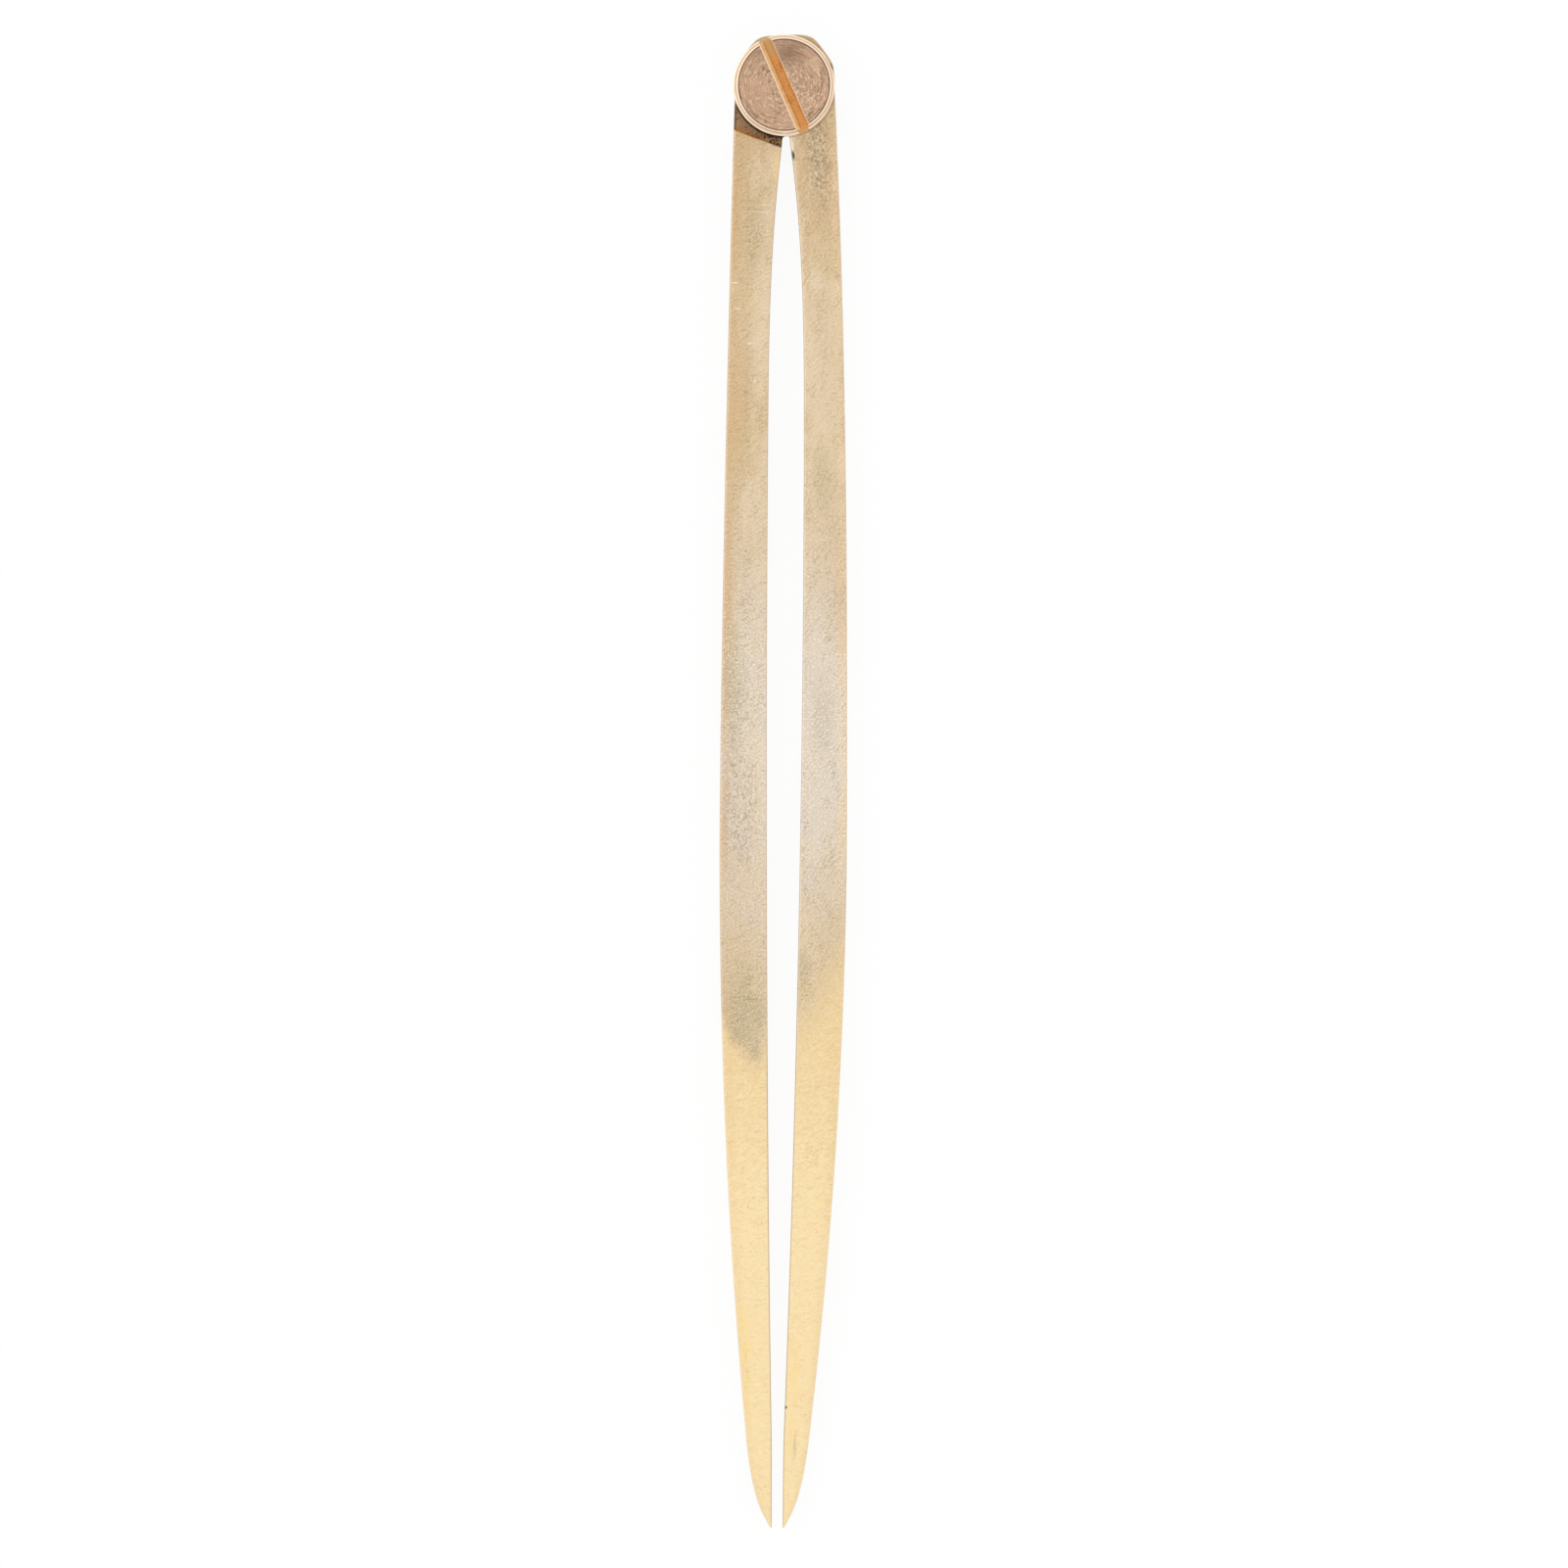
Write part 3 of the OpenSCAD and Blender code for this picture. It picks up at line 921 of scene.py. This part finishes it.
    # A line along the shoulder's edge: orange film on its outer half and a painted highlight on its
    # inner half
    lip = over_shoulder.bell(-0.06, 0.18) * over_lap.ramp(0.5, 1) * brass.y.ramp(-3, -5)
    coat.paint("rust", lip * outward.ramp(-0.2, 0.2), strength=0.8)
    coat.paint("bright", lip * outward.ramp(0.1, -0.3), strength=0.8)
    soil_and_shadow = Coat(brass, settings, "dirt")
    soil_and_shadow.paint("rust", over_shoulder.ramp(1, 0.1) * cloud.ramp(0.3, 0.6))
    soil_and_shadow.paint("grime_and_shadow", rough.ramp(*LOWER), strength=0.6)
    # Black lines: round the eye's foot, dark dirt and painted shadow in one; a dark band along the
    # lap's outer edge; black specks of dirt towards its inner end
    round_eye = brass.radius.ramp(eye + 0.3, eye + 0.14)
    inner_end = 1.2 * outward.ramp(0.3, -0.5) * mottle.ramp(0.52, 0.44)
    black = round_eye + 0.6 * outward.ramp(0.93, 0.99) + inner_end
    soil_and_shadow.paint("grime_and_shadow", black * (0.3 + rough))
    in_lap = over_shoulder.ramp(-0.05, 0.1) * brass.z.bell(lap, 0.4) * brass.y.ramp(-1.5, -3)
    coat.paint(soil_and_shadow, in_lap)
    # Painted contact shadow: a faint dark line round the foot of the front eye
    foot = brass.radius.bell(eye + 0.2, 0.15) * brass.z.ramp(lap - 0.1, lap + 0.1)
    coat.paint("grime_and_shadow", foot, strength=0.3)

    roughness = 0.46 - 0.12 * clean + 0.12 * (grain - 0.5) + 0.2 * in_lap
    relief = 0.6 * grain + 0.4 * ripple
    return brass.metal(coat, roughness, relief, strength=0.3, depth=0.02, metallic=1 - 0.85 * in_lap)


def screw_finish(settings, size):
    """Turned brass: a brown face with pale and dark arcs, a polished bevel painted bright as a
    highlight, and an orange slot.
    """
    brass = Finish("screw_brass")
    top, rim_top, floor, foot = in_mm(size.top, size.rim_top, size.floor, size.bevel_foot)
    face_edge, left, right, lip = in_mm(size.face, size.left, size.right, settings.slot_lip)
    along, across = brass.on_slot(size)
    grain = brass.noise(cell=0.25, detail=3, roughness=0.6)
    arcs = brass.arc_noise(around=2.2, apart=0.34, detail=3, roughness=0.65)
    lines = brass.arc_noise(around=5, apart=0.14)
    blotch = brass.noise(cell=1.5)
    ragged = 0.5 * (grain - 0.5)

    # Face, bevel and sides of the head
    coat = Coat(brass, settings, "face")
    coat.paint("dark", (arcs + ragged).ramp(*LOWER), strength=0.9)
    coat.paint("pale", (lines + ragged).ramp(*UPPER))
    coat.paint("dark", brass.y.ramp(0, 5), strength=0.35)
    coat.paint("pink", blotch.ramp(0.55, 0.7), strength=0.5)
    for kind, x, y, reach, strength in FACE_SPOTS:
        aside, over = brass.x - x, brass.y - y
        away = (aside * aside + over * over) ** 0.5 + reach * (blotch - 0.5)
        coat.paint(kind, away.ramp(reach, 0) * (0.4 + grain), strength)
    # A dark line painted where the face meets the bevel
    coat.paint("groove", brass.radius.bell(face_edge - 0.01, 0.15), strength=0.85)
    # The bevel is polished, and painted near white as a painted highlight
    rim = brass.radius.ramp(face_edge + 0.03, face_edge + 0.1)
    coat.paint("rim", rim)
    sides = Coat(brass, settings, "plain")
    sides.paint("rim", lines.ramp(*UPPER), strength=0.5)
    coat.paint(sides, brass.z.ramp(rim_top + 0.02, rim_top - 0.1))

    # Floor, bevelled edge and lips of the slot
    bevel = Coat(brass, settings, "bevel")
    bevel.paint("slot", blotch.ramp(*UPPER), strength=0.6)
    bottom = Coat(brass, settings, "slot")
    bottom.paint("slot_spots", (grain + blotch - 0.5).ramp(*UPPER), strength=0.7)
    bottom.paint("slot_end", along.ramp(3.2, 4.8), strength=0.8)
    bottom.paint(bevel, brass.z.ramp(foot - 0.1, foot))
    between = across.ramp(left - lip, left) * across.ramp(right + lip, right)
    in_slot = between * brass.z.ramp(top, top - lip / 2) * brass.z.ramp(floor - 0.1, floor - 0.02)
    coat.paint(bottom, in_slot)
    # The lips along the slot are worn, and painted bright as a painted highlight
    lips = across.bell(left, 2 * lip) + across.bell(right + lip, lip)
    coat.paint("rim", lips * brass.z.ramp(top - 2 * lip, top), strength=0.9)

    roughness = 0.42 - 0.16 * rim + 0.15 * (grain - 0.5)
    return brass.metal(coat, roughness, arcs + lines, strength=0.3, depth=0.012)


def friction_finish(settings):
    """Rolled bronze with rubbed rings."""
    bronze = Finish("washer_bronze")
    rings = bronze.arc_noise(around=1.5, apart=0.3, detail=3)
    grain = bronze.noise(cell=0.25)
    coat = Coat(bronze, settings, "bronze")
    coat.paint("rubbed", (rings + grain - 0.5).ramp(*UPPER))
    return bronze.metal(coat, 0.3 + 0.2 * grain, rings, strength=0.2, depth=0.01)


def ring_finish(settings, screw, size, rim):
    """Rubbed brass: a dull pinkish band with a painted highlight on its rim, and a film at the ends of
    the slot.
    """
    brass = Finish("washer_brass")
    arcs = brass.arc_noise(around=4, apart=0.2)
    grain = brass.noise(cell=0.2)
    coat = Coat(brass, settings, "ring")
    # Painted highlight: a bright line along the rim
    coat.paint("ring_rim", (brass.radius + 0.1 * (arcs - 0.5)).ramp(rim - 0.2, rim - 0.1))
    coat.paint("rubbed", arcs.ramp(*LOWER), strength=0.3)
    along, across = brass.on_slot(size)
    left, right = in_mm(size.left, size.right)
    film = Coat(brass, screw, "slot")
    film.paint("slot_end", along.ramp(0, 1))
    under_slot = across.ramp(left, left + 0.2) * across.ramp(right, right - 0.2)
    coat.paint(film, under_slot, strength=0.85)
    return brass.metal(coat, 0.26 + 0.2 * grain, grain, strength=0.15, depth=0.01)


# Operators


class DIVIDER_OT_legs(bpy.types.Operator):
    """Make the two bowed legs with their lapped eyes"""

    bl_idname = "divider.legs"
    bl_label = "Legs"

    def execute(self, context):
        settings = context.scene.divider_legs
        eye = leg_plan("right_leg").reach / MM
        for name, wear in (("left_leg", LEFT_WEAR), ("right_leg", RIGHT_WEAR)):
            plan = leg_plan(name)
            grid, across, worn = leg_surface(*leg_rows(name, plan, settings))
            piece = make_object(name + "_brass", make_mesh(name, grid, across=across, edge=worn))
            cut_away(piece, bore_cutter(plan.plate_back, plan.plate_front, settings.bore_chamfer))
            finish = leg_finish(name + "_brass", settings, plan, eye, wear)
            dress(piece, finish, name, name)
        return {"FINISHED"}


class DIVIDER_OT_screw(bpy.types.Operator):
    """Make the slotted pivot screw"""

    bl_idname = "divider.screw"
    bl_label = "Pivot screw"

    def execute(self, context):
        settings = context.scene.divider_screw
        size = screw_sizes()
        mesh = make_mesh("pivot_screw", screw_surface(size, settings.corner))
        piece = make_object("pivot_screw_brass", mesh)
        cut_away(piece, slot_cutter(size, settings.slot_lip))
        dress(piece, screw_finish(settings, size), "pivot_screw", "pivot_screw")
        return {"FINISHED"}


class DIVIDER_OT_washers(bpy.types.Operator):
    """Make the friction washer and the dished spring washer"""

    bl_idname = "divider.washers"
    bl_label = "Washers"

    def execute(self, context):
        settings = context.scene.divider_washers
        rim = from_axis(node_points("spring_washer")).max() / MM
        bronze = friction_finish(settings)
        brass = ring_finish(settings, context.scene.divider_screw, screw_sizes(), rim)
        self.add_washer("friction_washer", "left_leg", "bronze", bronze, settings)
        self.add_washer("spring_washer", "spring_washer", "brass", brass, settings)
        return {"FINISHED"}

    def add_washer(self, node, body, metal, finish, settings):
        """Makes the washer of a node, which moves with a body."""
        grid = washer_surface(node, settings.edge_rounding)
        piece = make_object(node + "_" + metal, make_mesh(node, grid, close_rows=True))
        dress(piece, finish, node, body)


class DIVIDER_OT_stage(bpy.types.Operator):
    """Make the floor, the light and the camera"""

    bl_idname = "divider.stage"
    bl_label = "Stage"

    def execute(self, context):
        settings = context.scene.divider_stage
        self.add_floor(settings)
        self.add_world(context.scene, settings)
        self.add_lamp(settings)
        self.add_camera(context.scene, settings)
        context.scene.view_settings.view_transform = "Standard"
        return {"FINISHED"}

    def add_floor(self, settings):
        """A wide pale floor just under the object. Seen straight it is white, with a faint shadow."""
        side = (-FLOOR_REACH, FLOOR_REACH)
        corners = np.stack(np.meshgrid(side, side, CAD_LOW.z - 2 * HAIR), axis=-1)
        mesh = bpy.data.meshes.new("floor")
        mesh.from_pydata(corners.reshape(-1, 3), [], [(0, 1, 3, 2)])
        floor = make_object("floor", mesh)
        finish = Finish("floor_white")
        matte = finish.node("ShaderNodeBsdfDiffuse", inputs={"Color": (*settings.floor, 1)})
        glow = finish.node("ShaderNodeEmission")
        rays = ("Is Camera Ray", "Is Glossy Ray", "Is Transmission Ray")
        seen = sum(finish.node("ShaderNodeLightPath", output=ray) for ray in rays)
        white = seen * settings.floor_white
        lit = finish.node("ShaderNodeMixShader", inputs={0: white, 1: matte, 2: glow})
        under = finish.node("ShaderNodeNewGeometry", output="Backfacing")
        clear = finish.node("ShaderNodeBsdfTransparent")
        shown = finish.node("ShaderNodeMixShader", inputs={0: under, 1: lit, 2: clear})
        finish.node("ShaderNodeOutputMaterial", inputs={"Surface": shown})
        mesh.materials.append(finish.material)

    def add_world(self, scene, settings):
        """Even white surroundings, which the metal reflects and which show beyond the floor."""
        world = bpy.data.worlds.new("studio")
        world.use_nodes = True
        nodes = Nodes(world.node_tree)
        light = nodes.node("ShaderNodeBackground", inputs={"Color": (*settings.surroundings, 1)})
        nodes.node("ShaderNodeOutputWorld", inputs={"Surface": light})
        scene.world = world

    def add_lamp(self, settings):
        """A large soft lamp from the upper left."""
        lamp = bpy.data.lights.new("soft_lamp", "AREA")
        lamp.energy = settings.lamp_power
        lamp.size = settings.lamp_side
        shown = make_object("soft_lamp", lamp)
        shown.location = LAMP_PLACE
        shown.rotation_euler = (0, LAMP_TILT, 0)

    def add_camera(self, scene, settings):
        """A long lens straight above, framed as the photograph is."""
        camera = bpy.data.cameras.new("camera")
        camera.lens = settings.lens
        shown = make_object("camera", camera)
        pixel = (CAD_HIGH.y - CAD_LOW.y) / PHOTO_LENGTH
        middle = PHOTO_SIDE / 2
        right = (middle - PHOTO_PIVOT[0]) * pixel
        down = (middle - PHOTO_PIVOT[1]) * pixel
        along, aside = cos(settings.roll), sin(settings.roll)
        distance = PHOTO_SIDE * pixel * settings.lens / camera.sensor_width
        leg_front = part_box("left_leg")[1].z
        x = right * along + down * aside
        y = right * aside - down * along
        shown.location = (x, y, leg_front + distance)
        shown.rotation_euler = (0, 0, settings.roll)
        scene.camera = shown


class DIVIDER_PT_panel(bpy.types.Panel):
    """Lists the pieces and their settings"""

    bl_idname = "DIVIDER_PT_panel"
    bl_label = "Navigation Divider"
    bl_space_type = "VIEW_3D"
    bl_region_type = "UI"
    bl_category = "Divider"

    def draw(self, context):
        for operator, settings in zip(OPERATORS, SETTINGS):
            box = self.layout.box()
            box.operator(operator.bl_idname)
            group = getattr(context.scene, settings)
            for name in group.__annotations__:
                box.prop(group, name)


SETTINGS = {
    "divider_legs": DIVIDER_PG_legs,
    "divider_screw": DIVIDER_PG_screw,
    "divider_washers": DIVIDER_PG_washers,
    "divider_stage": DIVIDER_PG_stage,
}
OPERATORS = (DIVIDER_OT_legs, DIVIDER_OT_screw, DIVIDER_OT_washers, DIVIDER_OT_stage)
CLASSES = (*SETTINGS.values(), *OPERATORS, DIVIDER_PT_panel)


def register():
    for item in CLASSES:
        bpy.utils.register_class(item)
    for name, group in SETTINGS.items():
        setattr(bpy.types.Scene, name, PointerProperty(type=group))


def unregister():
    for name in SETTINGS:
        delattr(bpy.types.Scene, name)
    for item in reversed(CLASSES):
        bpy.utils.unregister_class(item)


def main():
    """Makes every piece in order."""
    register()
    bpy.ops.divider.legs()
    bpy.ops.divider.screw()
    bpy.ops.divider.washers()
    bpy.ops.divider.stage()
    bpy.context.view_layer.update()


if __name__ == "__main__":
    main()
